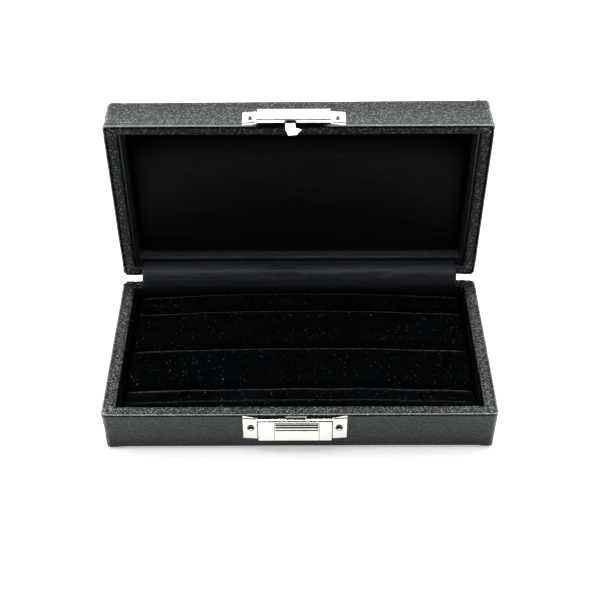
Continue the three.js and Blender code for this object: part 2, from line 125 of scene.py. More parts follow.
# ---------------- mesh helpers

def new_piece(name, points, faces, finish, body, stands_for):
    """A mesh from points in mm; it rides on a body, if one is given, and replaces one CAD node."""
    mesh = bpy.data.meshes.new(name)
    mesh.from_pydata((np.asarray(points) * MM).tolist(), [], faces)
    mesh.validate()
    obj = linked(name, mesh)
    clean_up(mesh)
    mesh.materials.append(finish)
    if body:
        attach(obj, body)
    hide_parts(stands_for)
    return obj


def linked(name, data):
    """An object of this data, in the scene."""
    obj = bpy.data.objects.new(name, data)
    scene.collection.objects.link(obj)
    return obj


def clean_up(mesh, merge=False):
    """Smooth shading and normals that face outwards; with merge, points that coincide become one."""
    bm = bmesh.new()
    bm.from_mesh(mesh)
    if merge:
        bmesh.ops.remove_doubles(bm, verts=bm.verts, dist=COINCIDE)
    bmesh.ops.recalc_face_normals(bm, faces=bm.faces)
    bm.to_mesh(mesh)
    bm.free()
    mesh.shade_smooth()


def loop_grid(rows, cols, close_rows, close_cols):
    """Quads of a rows x cols grid of points, closed on itself along either direction."""
    faces = []
    for r in range(rows if close_rows else rows - 1):
        for c in range(cols if close_cols else cols - 1):
            r2, c2 = (r + 1) % rows, (c + 1) % cols
            faces.append((r * cols + c, r * cols + c2, r2 * cols + c2, r2 * cols + c))
    return faces


def closed_sheet(rows, cols):
    """Faces of two grids of points, one behind the other, joined round their rims."""
    count = rows * cols
    faces = loop_grid(rows, cols, False, False)
    faces += [tuple(i + count for i in f[::-1]) for f in faces]
    rim = list(range(cols)) + [r * cols + cols - 1 for r in range(1, rows)]
    rim += [(rows - 1) * cols + c for c in range(cols - 2, -1, -1)]
    rim += [r * cols for r in range(rows - 2, 0, -1)]
    for a, b in zip(rim, rim[1:] + rim[:1]):
        faces.append((b, a, a + count, b + count))
    return faces


def wobble(p, scale, seed):
    """Smooth noise from -1 to 1 at a point in mm."""
    return noise.noise(Vector((p[0] / scale + seed, p[1] / scale - seed, p[2] / scale + 2 * seed)))


def bell(off, width):
    """One in the middle, falling away on both sides."""
    return math.exp(-(off / width) ** 2)


def paint(obj, name, values):
    """A number for each vertex, which a material can read."""
    attribute = obj.data.attributes.new(name, "FLOAT", "POINT")
    attribute.data.foreach_set("value", np.asarray(values, np.float32))


def axis_steps(length, radius, spacing):
    """Positions along one side of a rounded box: fine over the rounded ends, even between."""
    rounded = [radius * (1 - math.cos(a)) for a in np.linspace(0, math.pi / 2, 5)[:-1]]
    count = max(2, int(round((length - 2 * radius) / spacing)) + 1)
    middle = list(np.linspace(radius, length - radius, count))
    return np.array(rounded + middle + [length - a for a in rounded[::-1]])


def rounded_box(low, high, radius, spacing):
    """Points and faces of a box with rounded edges, gridded so that it can be shaped further."""
    low, high = np.array(low, float), np.array(high, float)
    size = high - low
    steps = [axis_steps(size[i], radius, spacing) for i in range(3)]
    points, faces, lookup = [], [], {}

    def point(coords):
        key = tuple(round(float(c), 5) for c in coords)
        if key not in lookup:
            p = np.array(coords, float)
            inner = np.clip(p, radius, size - radius)
            out = p - inner
            far = np.linalg.norm(out)
            lookup[key] = len(points)
            points.append(low + inner + (out / far * radius if far > 1e-9 else 0))
        return lookup[key]

    for axis in range(3):
        u, v = (axis + 1) % 3, (axis + 2) % 3
        for end in (0.0, size[axis]):
            for i in range(len(steps[u]) - 1):
                for j in range(len(steps[v]) - 1):
                    quad = []
                    for a, b in ((i, j), (i + 1, j), (i + 1, j + 1), (i, j + 1)):
                        coords = [0.0, 0.0, 0.0]
                        coords[axis], coords[u], coords[v] = end, steps[u][a], steps[v][b]
                        quad.append(point(coords))
                    if len(set(quad)) == 4:
                        faces.append(quad)
    return np.array(points), faces


def left_of(path):
    """Unit normals of a path in a plane, pointing to its left."""
    along = np.gradient(path, axis=0)
    along /= np.linalg.norm(along, axis=1)[:, None]
    return np.stack([-along[:, 1], along[:, 0]], 1)


def thick_strip(path, thickness, xs, shape):
    """A closed sheet: a path in Y and Z run along X, pushed along its normal by shape(s, x)."""
    points = []
    for offset in (-thickness / 2, thickness / 2):
        for s, at, out in zip(np.linspace(0, 1, len(path)), path, left_of(path)):
            points += [(x, *(at + out * (offset + shape(s, x)))) for x in xs]
    return points, closed_sheet(len(path), len(xs))


def smooth_path(points, count):
    """Evenly spaced points on a Catmull-Rom curve through the given Y, Z points."""
    p = np.array(points, float)
    p = np.vstack([2 * p[0] - p[1], p, 2 * p[-1] - p[-2]])
    fine = []
    for i in range(1, len(p) - 2):
        for t in np.linspace(0, 1, 24, endpoint=False):
            a, b, c, d = p[i - 1], p[i], p[i + 1], p[i + 2]
            fine.append(0.5 * (2 * b + (c - a) * t + (2 * a - 5 * b + 4 * c - d) * t ** 2
                               + (3 * b - a - 3 * c + d) * t ** 3))
    fine.append(p[-2])
    fine = np.array(fine)
    walked = np.concatenate([[0], np.cumsum(np.linalg.norm(np.diff(fine, axis=0), axis=1))])
    at = np.linspace(0, walked[-1], count)
    return np.stack([np.interp(at, walked, fine[:, i]) for i in range(2)], 1), walked[-1]


# ---------------- materials

class Finish:
    """A node material: put() adds a node, and a (node, socket) pair or a number feeds each input. Its coords
    are the object's own, in millimetres."""

    def __init__(self, name):
        self.material = bpy.data.materials.new(name)
        self.material.use_nodes = True
        self.tree = self.material.node_tree
        self.tree.nodes.clear()
        self.shader = self.put("BsdfPrincipled")
        out = self.put("OutputMaterial")
        self.tree.links.new(self.shader.outputs[0], out.inputs[0])
        self.coords = self.put("Mapping", {0: (self.put("TexCoord"), "Object"), "Scale": (1 / MM,) * 3})

    def put(self, kind, inputs=None, **settings):
        node = self.tree.nodes.new("ShaderNode" + kind)
        for key, value in settings.items():
            setattr(node, key, value)
        for key, value in (inputs or {}).items():
            self.feed(node.inputs[key], value)
        return node

    def feed(self, socket, value):
        if isinstance(value, bpy.types.Node):
            self.tree.links.new(value.outputs[0], socket)
        elif isinstance(value, tuple) and isinstance(value[0], bpy.types.Node):
            self.tree.links.new(value[0].outputs[value[1]], socket)
        else:
            socket.default_value = value

    def set(self, **sockets):
        for key, value in sockets.items():
            self.feed(self.shader.inputs[key.replace("_", " ")], value)

    def noise(self, per_mm, detail=3, rough=0.5, source=None, stretch=None):
        vector = source or self.coords
        if stretch:
            vector = self.put("Mapping", {0: vector, "Scale": stretch})
        return self.put("TexNoise", {"Vector": vector, "Scale": per_mm, "Detail": detail,
                                               "Roughness": rough})

    def cells(self, per_mm, feature="F1", source=None):
        return self.put("TexVoronoi", {"Vector": source or self.coords, "Scale": per_mm},
                        feature=feature)

    def math(self, operation, a, b=0.0, clamp=False):
        return self.put("Math", {0: a, 1: b}, operation=operation, use_clamp=clamp)

    def times(self, a, b, clamp=False):
        return self.math("MULTIPLY", a, b, clamp)

    def plus(self, a, b):
        return self.math("ADD", a, b)

    def painted(self, name):
        """The numbers that paint() gave the vertices."""
        return (self.put("Attribute", attribute_name=name), "Fac")

    def red_of(self, node):
        return self.put("SeparateColor", {0: (node, "Color")})

    def remap(self, value, low, high, to_low=0.0, to_high=1.0):
        return self.put("MapRange", {"Value": value, 1: low, 2: high, 3: to_low, 4: to_high})

    def mix(self, factor, a, b):
        return (self.put("Mix", {0: factor, 6: a, 7: b}, data_type="RGBA"), 2)

    def along(self, direction, start):
        """How far a point lies beyond `start` mm along a direction."""
        reach = self.put("VectorMath", {0: self.coords, 1: direction}, operation="DOT_PRODUCT")
        return self.math("SUBTRACT", (reach, "Value"), start)

    def stripe(self, value, at, width):
        """One where the value is at a level, falling to nothing `width` away."""
        off = self.math("ABSOLUTE", self.math("SUBTRACT", value, at))
        return self.remap(off, width * 0.35, width, 1.0, 0.0)

    def bump(self, height, distance_mm, strength=1.0):
        return self.put("Bump", {"Height": height, "Distance": distance_mm * MM,
                                           "Strength": strength})


def grey(value, warm=0.0):
    """A grey, warmer above zero and cooler below."""
    return (value * (1 + warm), value, value * (1 - warm), 1)


def leatherette(name, painted=False):
    """Black coated cloth: fine pebbles in slanting rows. A painted one reads how strongly its pebbles show,
    raised into painted glints on some faces, and a number that is worn pale above zero, with painted
    highlights, and black below zero: painted shade."""
    m = Finish(name)
    warp = m.noise(0.9, 2)
    warped = m.put("VectorMath", {0: m.coords, 1: (warp, "Color")}, operation="ADD")
    slanted = m.put("Mapping", {0: warped, "Rotation": (0.6, 0.5, 0.7), "Scale": (1.0, 1.5, 1.25)})
    pebble = m.cells(0.95, "SMOOTH_F1", slanted)
    crease = m.cells(0.95, "DISTANCE_TO_EDGE", slanted)
    tint = m.red_of(m.cells(0.95, "F1", slanted))
    fine = m.noise(6.0, 3, 0.6)
    broad = m.noise(0.045, 3, 0.55)
    domes = m.remap((pebble, "Distance"), 0.05, 0.6, 1.0, 0.0)
    valleys = m.remap((crease, "Distance"), 0.0, 0.16)
    height = m.plus(m.times(domes, 0.75), m.times(fine, 0.4))
    height = m.times(height, m.remap(valleys, 0, 1, 0.3, 1.0))
    crown = m.times(m.remap(height, 0.4, 0.74), m.remap(tint, 0.25, 0.7, 0.1, 1.0))
    # A painted strength of the pebbles' contrast, raised where it stands for painted glints.
    strength = m.painted("grain") if painted else 0.5
    mean_crown = 0.33
    contrast = m.times(m.math("SUBTRACT", crown, mean_crown), strength)
    crown = m.plus(contrast, mean_crown)
    colour = m.mix(crown, (0.0015, 0.002, 0.0024, 1), (0.15, 0.163, 0.172, 1))
    colour = m.mix(m.remap(broad, 0.35, 0.7, 0.0, 0.15), colour, (0.012, 0.013, 0.014, 1))
    shine = m.remap(crown, 0.0, 0.9, 0.12, 0.95)
    if painted:
        wear = m.painted("wear")
        patchy = m.times(wear, m.remap(m.noise(1.1, 4, 0.7), 0.36, 0.6, 0.5, 1.0))
        streaks = m.noise(1.1, 2, 0.5, slanted, (0.5, 1.7, 1.7))
        crowns = m.remap(crown, 0.0, 0.6, 0.0, 0.85)
        raised = m.plus(crowns, m.remap(streaks, 0.43, 0.6, 0.0, 0.75))
        patchy = m.times(patchy, raised, clamp=True)
        # Pale along the bead: worn, and partly a painted highlight.
        ridge = m.remap(wear, 0.4, 1.0, 0.0, 0.85)
        patchy = m.math("MAXIMUM", patchy, m.times(ridge, m.remap(fine, 0.4, 0.6, 0.4, 1.0)))
        colour = m.mix(patchy, colour, (0.58, 0.6, 0.6, 1))
        # Painted shade: black and without shine where the number is below zero.
        painted_shade = m.remap(wear, -1.0, -0.05, 1.0, 0.0)
        colour = m.mix(painted_shade, colour, (0.001, 0.001, 0.0012, 1))
        shine = m.times(shine, m.remap(painted_shade, 0.0, 1.0, 1.0, 0.04))
    rough = m.remap(m.noise(1.8, 3), 0.3, 0.7, 0.28, 0.42)
    m.set(Base_Color=colour, Roughness=rough, Specular_IOR_Level=shine, Specular_Tint=(0.88, 0.96, 1.0, 1))
    m.set(Normal=m.bump(height, 0.6, 1.0))
    return m.material


def velvet():
    """Black short pile: almost no shine, brushed patches, paler along the rib crests where a painted sheen is
    given, and lint.
    """
    m = Finish("velvet")
    brushed = m.noise(0.06, 4, 0.6)
    pile = m.noise(3.2, 2, 0.7)
    colour = m.mix(m.remap(brushed, 0.35, 0.7), grey(0.0007, -0.3), grey(0.003, -0.25))
    colour = m.mix(m.remap(pile, 0.5, 0.8, 0.0, 0.6), colour, grey(0.009, -0.2))
    # Painted sheen: paler where the pad's crest lines are painted.
    painted_crest_sheen = m.times(m.painted("splay"), m.remap(pile, 0.3, 0.6, 0.3, 1.0))
    painted_crest_sheen = m.times(painted_crest_sheen, m.remap(m.noise(0.5, 4, 0.75), 0.4, 0.6, 0.2, 1.15), clamp=True)
    colour = m.mix(painted_crest_sheen, colour, (0.085, 0.087, 0.091, 1))
    clumps = m.remap(m.noise(0.05, 2), 0.38, 0.6, 0.35, 1.0)
    large, small = specks(m, 0.3, 0.78, 0.11), specks(m, 0.75, 0.6, 0.18)
    here_and_there = m.remap(m.noise(0.1, 1), 0.35, 0.65, 0.1, 0.8)
    colour = m.mix(m.times(small, m.times(clumps, 0.75)), colour, grey(0.09))
    colour = m.mix(m.times(large, here_and_there), colour, grey(0.22))
    hairs = m.math("MAXIMUM", fibres(m, (0.08, 0.9, 0.6), 0.9), fibres(m, (0.8, 0.1, 0.6), -0.5))
    colour = m.mix(m.times(hairs, clumps), colour, grey(0.06))
    m.set(Base_Color=colour, Roughness=0.95, Specular_IOR_Level=0.0)
    m.set(Normal=m.bump(pile, 0.25, 0.6))
    return m.material


def specks(m, per_mm, share, radius):
    """Mask of scattered dots: one cell in a few holds a dot."""
    cells = m.cells(per_mm, "F1")
    chosen = m.remap(m.red_of(cells), share, share + 0.02)
    near = m.remap((cells, "Distance"), radius * 0.6, radius, 1.0, 0.0)
    return m.times(chosen, near)


def fibres(m, squeeze, turn):
    """Mask of sparse fine hairs lying one way, for lint on the pile."""
    turned = m.put("Mapping", {0: m.coords, "Rotation": (0.2, 0.1, turn)})
    wavy = m.put("VectorMath", {0: turned, 1: (m.noise(0.5, 1), "Color")}, operation="ADD")
    squeezed = m.put("Mapping", {0: wavy, "Scale": squeeze})
    cells = m.cells(1.0, "F1", squeezed)
    chosen = m.remap(m.red_of(cells), 0.6, 0.62)
    thin = m.remap((cells, "Distance"), 0.05, 0.12, 1.0, 0.0)
    return m.times(chosen, thin)


def satin(name, bright, shine):
    """Black lining satin: ribs and slubs of the weave along X, a cool sheen; a painted number darkens it, as
    painted shade.
    """
    m = Finish(name)
    stretch = (0.12, 3.0, 3.0)
    threads = m.noise(2.4, 2, 0.5, stretch=stretch)
    slubs = m.noise(0.35, 3, 0.55, stretch=stretch)
    cross = m.noise(4.5, 1, 0.5)
    height = m.plus(m.times(threads, 0.7), m.times(cross, 0.3))
    low = tuple(c * bright for c in (0.0008, 0.0009, 0.001)) + (1,)
    high = tuple(c * bright for c in (0.0044, 0.0047, 0.0053)) + (1,)
    flecks = m.remap(m.noise(1.9, 3, 0.7), 0.3, 0.7, -0.3, 0.75)
    woven = m.plus(m.remap(slubs, 0.35, 0.7, 0.0, 0.55), flecks)
    colour = m.mix(woven, low, high)
    colour = m.mix(m.times(specks(m, 0.16, 0.82, 0.03), 0.6), colour, grey(0.12))
    # Painted shade: darker colour and less shine where the number is painted.
    dim = m.remap(m.painted("dim"), 0.0, 1.0, 1.0, 0.0)
    colour = m.mix(dim, (0.0003, 0.0003, 0.0004, 1), colour)
    m.set(Base_Color=colour, Roughness=m.remap(threads, 0.3, 0.7, 0.4, 0.56))
    m.set(Specular_IOR_Level=m.times(dim, shine), Specular_Tint=(0.82, 0.91, 1.0, 1))
    m.set(Anisotropic=0.35)
    m.set(Sheen_Weight=0.025 * bright, Sheen_Roughness=0.3, Sheen_Tint=(0.6, 0.72, 0.9, 1))
    m.set(Normal=m.bump(height, 0.05, 0.5))
    return m.material


def nickel(name="nickel", rough=0.13, bends=None, metal=1.0, shade_below=None):
    """Bright plated steel: faint rolling lines, tiny pits, a slightly warm tint. It is dark brown where a
    number is painted on
    the vertices: painted dark reflection on the screw heads, painted shade in the pin dimples. It is dark
    brown too in the bends of a pressed plate, a painted dark reflection, where bends is (middle, out, face,
    rimwards, bend) as in pressed_plate. With a height in mm as the last argument, it is dark below that
    height instead: painted shade."""
    m = Finish(name)
    rolled = m.noise(2.0, 3, 0.6, stretch=(0.1, 3.0, 3.0))
    pits = m.noise(3.4, 2)
    tarnish = m.noise(0.22, 4, 0.6)
    colour = m.mix(m.remap(tarnish, 0.4, 0.75, 0.0, 0.5), (0.86, 0.845, 0.81, 1), (0.7, 0.66, 0.58, 1))
    painted_dark = m.painted("tarnish")
    if shade_below:
        painted_dark = m.remap(m.along((0, 0, 1), shade_below), 0.0, 0.2, 1.0, 0.0)
    # Painted dark reflections in the plate's bends: along the fold, the lips and the step.
    if bends:
        middle, out, face, rimwards, bend = bends
        proud, beyond = m.along(out, face), m.along(rimwards, bend)
        across = m.math("ABSOLUTE", m.along((1, 0, 0), middle))
        raised = m.remap(proud, 1.4, 1.55)
        fold_at = 2.3
        fold = m.times(m.stripe(m.math("SUBTRACT", proud, beyond), fold_at, 0.72), raised)
        lip = m.times(m.stripe(beyond, 0.1, 0.42), m.math("SUBTRACT", 1.0, raised))
        lip = m.times(lip, m.remap(across, PLATE_STEP + 0.1, PLATE_STEP + 0.6))
        step = m.times(m.stripe(across, PLATE_STEP, 0.3), m.remap(beyond, -0.6, -0.9, 0.0, 0.8))
        marks = m.math("MAXIMUM", m.math("MAXIMUM", fold, lip), step)
        uneven = m.remap(m.noise(0.9, 3, 0.6), 0.35, 0.55, 0.88, 1.0)
        painted_dark = m.math("MAXIMUM", painted_dark, m.times(marks, uneven))
    # Painted dark: dark brown, with grey specular and more roughness.
    colour = m.mix(painted_dark, colour, (0.022, 0.015, 0.01, 1))
    m.set(Specular_Tint=m.mix(painted_dark, grey(1.0), grey(0.08)))
    polish = m.remap(rolled, 0.3, 0.7, rough * 0.7, rough * 1.5)
    dulled = m.plus(polish, m.times(painted_dark, 0.5))
    m.set(Base_Color=colour, Metallic=metal, Roughness=dulled)
    m.set(Normal=m.bump(m.plus(rolled, m.times(pits, 0.4)), 0.012, 0.5))
    return m.material


def dark_nickel():
    """Plate in the bottom of the grip grooves, darkened and browned: painted shade."""
    m = Finish("dark_nickel")
    mottle = m.noise(0.8, 3, 0.6)
    colour = m.mix(m.remap(mottle, 0.35, 0.65), (0.03, 0.02, 0.011, 1), (0.26, 0.19, 0.11, 1))
    m.set(Base_Color=colour, Metallic=1.0, Roughness=m.remap(mottle, 0.3, 0.7, 0.25, 0.4))
    return m.material


def black_inside_shade():
    """Black on the parts behind the lock's face: painted shade."""
    m = Finish("lock_inside_shade")
    blotches = m.noise(1.4, 3, 0.6)
    m.set(Base_Color=m.mix(blotches, grey(0.002), grey(0.009, 0.2)), Roughness=0.7, Specular_IOR_Level=0.1)
    m.set(Normal=m.bump(blotches, 0.05, 0.5))
    return m.material


def plain_steel():
    m = Finish("spring_steel")
    drawn = m.noise(3.0, 3)
    m.set(Base_Color=m.mix(drawn, (0.34, 0.34, 0.35, 1), (0.55, 0.55, 0.56, 1)), Metallic=1.0)
    m.set(Roughness=m.remap(drawn, 0.3, 0.7, 0.28, 0.45), Normal=m.bump(drawn, 0.02, 0.4))
    return m.material


def raw_board():
    """Black-dyed paper board, with paler flecks and a fibrous face."""
    m = Finish("board")
    pulp = m.noise(1.6, 5, 0.65)
    flecks = m.noise(0.5, 2, 0.4, stretch=(0.3, 1.4, 1.4))
    colour = m.mix(m.remap(pulp, 0.3, 0.7), (0.012, 0.011, 0.01, 1), (0.03, 0.028, 0.025, 1))
    colour = m.mix(m.remap(flecks, 0.55, 0.8, 0.0, 0.6), colour, (0.07, 0.064, 0.055, 1))
    m.set(Base_Color=colour, Roughness=0.9, Normal=m.bump(pulp, 0.08, 0.5))
    return m.material


def grey_card():
    m = Finish("card")
    pulp = m.noise(2.2, 4, 0.6)
    m.set(Base_Color=m.mix(pulp, (0.2, 0.19, 0.17, 1), (0.36, 0.34, 0.31, 1)), Roughness=0.92)
    m.set(Normal=m.bump(pulp, 0.05, 0.5))
    return m.material


def open_foam():
    m = Finish("foam")
    pores = m.cells(2.0, "F1")
    open_pore = m.remap((pores, "Distance"), 0.1, 0.4)
    m.set(Base_Color=m.mix(open_pore, (0.03, 0.03, 0.033, 1), (0.14, 0.14, 0.15, 1)), Roughness=0.95)
    m.set(Normal=m.bump(open_pore, 0.2, 0.8))
    return m.material


LEATHER = leatherette("leatherette", True)
LEATHER_PLAIN = leatherette("leatherette_plain")
VELVET = velvet()
SATIN = satin("satin", 0.9, 0.06)
LINER_SATIN = satin("liner_satin", 1.0, 0.4)
# The ledge and gusset satins are brighter copies of the same satin: painted light.
LEDGE_SATIN = satin("ledge_satin", 17.0, 0.6)
GUSSET_SATIN = satin("gusset_satin", 9.5, 0.42)
NICKEL = nickel()
# The lock's back plate is dark below the shelf: painted shade in the slot.
DULL_NICKEL = nickel("dull_nickel", 0.4, metal=0.3, shade_below=BASE_RIM - 1.8)
DARK_NICKEL = dark_nickel()
INSIDE_SHADE_FINISH = black_inside_shade()
STEEL = plain_steel()


# ---------------- leatherette wrap

def arc(centre, radius, start, end, steps=6):
    angles = np.radians(np.linspace(start, end, steps + 1))
    return [(centre[0] + radius * math.cos(a), centre[1] + radius * math.sin(a)) for a in angles]


def wrap_profile(height, crease_on):
    """Section of the wrap: (inset from the outer face, height, worn paleness and painted light). A bead runs
    along the outer edge, worn pale with a painted highlight, and a dark crease beside it, painted shade,
    either on the outer face or on the rim.
    Below zero, the last number stands for painted shade."""
    low, foot = COVER_BOTTOM, 1.1
    if crease_on == "outside":
        # Base: the foot darkened where it meets the floor and the crease under the bead darkened, painted
        # shade; the rim lightened, partly painted light.
        foot_wear_and_shade, rim_wear_and_light = -0.6, 0.29
        level, rise, reach, fall = -0.19, 0.12, 3, 0.52
        below_bead = [(0.02, -1.4, -0.1), (0.13, -1.15, -0.7), (0.2, -0.95, -1), (0.1, -0.78, -1)]
        bead_wear_and_painted_light = (-1, -0.7, 0.2, 0.8, 1, 1, 0.8, 0.45)
        beside_bead = [(0.8, 0.06, 0.2), (1.2, 0.05, 0.12)]
    else:
        # Lid: the dark crease beside the bead lies on the rim, painted shade; the bead pale, partly a painted
        # highlight.
        foot_wear_and_shade, rim_wear_and_light = 0.2, 0.1
        level, rise, reach, fall = 0.08, 0.26, 8, 0.1
        below_bead = [(0, -1.4, 0.08), (0, -1.0, 0.12), (-0.04, -0.8, 0.3)]
        bead_wear_and_painted_light = (0.3, 0.7, 1, 1, 1, 1, 0.8, 0.45)
        beside_bead = [(0.68, -0.02, -0.5), (0.9, -0.16, -1), (1.15, -0.12, -0.9), (1.45, 0, -0.3)]
    section = [(FOLD_UNDER, low, 0), (5.5, low, 0), (2.4, low, 0)]
    section += [(x, z, foot_wear_and_shade) for x, z in arc((foot, low + foot), foot, 270, 180)]
    for z in np.linspace(low + foot, height - 1.8, 10)[1:]:
        # Along the walls, lighter towards the top and darker towards the foot: painted light and shade.
        rub_and_light = level + rise * math.exp((z - height + 1.4) / reach) - fall * math.exp((low + foot - z) / 5)
        section.append((0, z, rub_and_light))
    section += [(t, height + z, w) for t, z, w in below_bead]
    bead = arc((0.44, height - 0.44), 0.52, 180, 90, 7)
    section += [(x, z, w) for (x, z), w in zip(bead, bead_wear_and_painted_light)]
    section += [(t, height + z, w) for t, z, w in beside_bead]
    section += [(t, height + 0.05, rim_wear_and_light) for t in np.linspace(1.8, RIM_WIDTH - 1.3, 5)]
    inner = arc((RIM_WIDTH - 0.8, height - 0.8), 0.8, 90, 0)
    section += [(x, z, w) for (x, z), w in zip(inner, (0.1, 0.2, 0.35, 0.4, 0.3, 0.1, 0))]
    section += [(RIM_WIDTH, height - d, 0) for d in (2.2, 4, 5.6, FOLD_DOWN)]
    return section


def tray_stations():
    """Stops round a tray: ("corner", index, degrees) round its corners, ("side", index, share) between."""
    fine, coarse = 0.45, 3.2
    stops = []
    for side in range(4):
        stops += [("corner", side, angle) for angle in np.linspace(0, 90, 7)]
        length = 2 * (HALF_W if side % 2 == 0 else HALF_D) - 2 * CORNER
        near = np.arange(fine, CORNER_ZONE, fine)
        middle = np.linspace(CORNER_ZONE, length - CORNER_ZONE, int((length - 2 * CORNER_ZONE) / coarse))
        stops += [("side", side, d / length) for d in (*near, *middle, *(length - near[::-1]))]
    return stops


CORNER_SIGNS = [(1, 1), (-1, 1), (-1, -1), (1, -1)]


def station_point(stop, inset):
    """Where a stop lies in plan, drawn in from the outer face by inset."""
    kind, side, value = stop
    radius = max(CORNER - inset, 0.3)

    def corner_point(index, angle):
        sx, sy = CORNER_SIGNS[index % 4]
        cx, cy = sx * (HALF_W - inset - radius), sy * (HALF_D - inset - radius)
        a = math.radians(90 * (index % 4) + angle)
        return np.array([cx + radius * math.cos(a), cy + radius * math.sin(a)])

    if kind == "corner":
        return corner_point(side, value)
    start, end = corner_point(side, 90), corner_point(side + 1, 0)
    return start + (end - start) * value


def wrapped_tray(name, height, place, body, node, seed, crease_on, grain_and_glints, tip):
    """The wrap as one closed skin, mitred and slightly crumpled where it folds over the rim's corners.
    grain_and_glints: how strongly the pebbles show on the walls and on the rim. tip: how far the corner tips drop."""
    profile = np.array(wrap_profile(height, crease_on))
    line = profile[:, :2]
    loop = np.vstack([line, (line - left_of(line) * SKIN)[::-1]])
    rub_and_light = np.append(profile[:, 2], np.zeros(len(line)))
    stops = tray_stations()
    catch_x = middle_x("catch_plate")
    points, wear, grain = [], [], []
    for stop in stops:
        for (t, z), rubbed_and_lit in zip(loop, rub_and_light):
            x, y = station_point(stop, t)
            corner_x, corner_y = HALF_W - abs(x), HALF_D - abs(y)
            edge_distance = math.hypot(max(corner_x, 0), max(corner_y, 0))
            near = bell(edge_distance, CORNER_ZONE)
            across = (corner_x - corner_y) / math.sqrt(2)
            on_rim = 1 / (1 + math.exp(-(z - height + 1.2) * 3))
            lift = 0
            if on_rim > 0.05:
                mitre = -0.4 * bell(across, 0.28)
                overlap = 0.28 * near / (1 + math.exp(-across * 7))
                lift = on_rim * (mitre * min(1, near * 1.6) + overlap)
            bumps = (wobble((x, y, z), 2.0, seed) * 0.42 + wobble((x, y, z), 0.9, seed + 7) * 0.3) * near
            swell = wobble((x, y, z), 26, seed + 3) * 0.12
            drop = tip * tip_drop(edge_distance, z)
            push = bumps + swell * (1 - near) + drop * 0.25
            away = np.array([math.copysign(1, x) * (t < RIM_WIDTH and corner_x < corner_y),
                             math.copysign(1, y) * (t < RIM_WIDTH and corner_y <= corner_x)])
            if t > 3.5:
                away = -away
            flat = t < 0.5 or RIM_WIDTH - 0.4 < t < RIM_WIDTH + 0.4
            x += away[0] * push * (0.6 if flat else 0.15)
            y += away[1] * push * (0.6 if flat else 0.15)
            stand_off = max(0, 1 - t / RIM_WIDTH) * abs(x / HALF_W) ** 3
            x += stand_off * (SIDE_PUFF[1] if x > 0 else -SIDE_PUFF[0])
            crumple = (bumps * 0.8 - 0.22 * near) * on_rim
            points.append((x, y, min(z + lift + crumple - drop, height + 0.13)))
            # Worn pale round the corners and on the crumpled mitres, partly a painted highlight.
            corner_rub_and_highlight = 0.5 * bell(edge_distance - 0.8, 0.9) if t < 1.5 else 0
            scuff_and_highlight = max(0, wobble((x, y, z), 1.1, seed + 20)) * near * on_rim
            under_catch = y > 0 and t < 0.75 and z > height - 2.7 and abs(x - catch_x) < 15
            # Painted shade: on the base's rim towards the hinge, where the lid shades it; black on the lid
            # under the catch plate; on the lid's rim away from the corners.
            if crease_on == "outside":
                shade_amount = 0.55 * on_rim * bell(HALF_D - y, 8)
            elif under_catch:
                shade_amount = 2
            else:
                shade_amount = 0.42 * on_rim * (t > 0.75) * (1 - near)
            # On the base, weak on the walls and strong on the rim, where the light catches the pebbles:
            # painted glints.
            grain.append(grain_and_glints[0] if t < 0.4 and z < height - 0.6 else grain_and_glints[1])
            wear.append(max(-1, min(1, rubbed_and_lit + corner_rub_and_highlight + 1.5 * scuff_and_highlight - shade_amount)))
    faces = loop_grid(len(stops), len(loop), True, True)
    obj = new_piece(name, place(points), faces, LEATHER, body, node)
    paint(obj, "wear", wear)
    paint(obj, "grain", grain)


def tip_drop(edge_distance, z):
    """The folded tips under the bottom corners stand a little lower than the rest of the wrap."""
    return bell(edge_distance, 5.0) * bell(z - COVER_BOTTOM, 1.4)


def closing_sheet(name, place, body, node, bulge):
    """Sheet glued over the turned-under edges, its edges rounded and its outer face bulging a little."""
    inset, thick = 1.6, 0.7
    points, faces = rounded_box((inset - HALF_W, inset - HALF_D, 0), (HALF_W - inset, HALF_D - inset, thick),
                                0.3, 2.4)
    shaped = []
    for x, y, z in points:
        u, v = x / (HALF_W - inset), y / (HALF_D - inset)
        puff = bulge * max(0, 1 - u ** 8) ** 0.5 * max(0, 1 - v ** 8) ** 0.5
        shaped.append((x, y, z - puff if z < thick / 2 else z))
    new_piece(name, place(shaped), faces, LEATHER_PLAIN, body, node)


# ---------------- lining

def wrapped_card(name, node, body, finish, radius=0.5, wave=0.12, seed=1):
    """A liner card: cloth pulled round its edges, with a slight wave where the glue has let go. The side
    cards wave on the face that looks inwards only."""
    low, high = span(node)
    thin = int(np.argmin(high - low))
    points, faces = rounded_box(low, high, min(radius, (high - low)[thin] / 2 - 0.02), 2.2)
    middle = (low + high) / 2
    shaped = []
    for p in points:
        q = p.copy()
        ripple = wave * wobble(p, 9, seed) + 0.4 * wave * wobble(p, 3, seed + 5)
        if thin:
            q[thin] += ripple * 0.6
        elif (p[0] - middle[0]) * middle[0] < 0:
            q[0] += ripple
        shaped.append(q)
    new_piece(name, shaped, faces, finish, body, node)


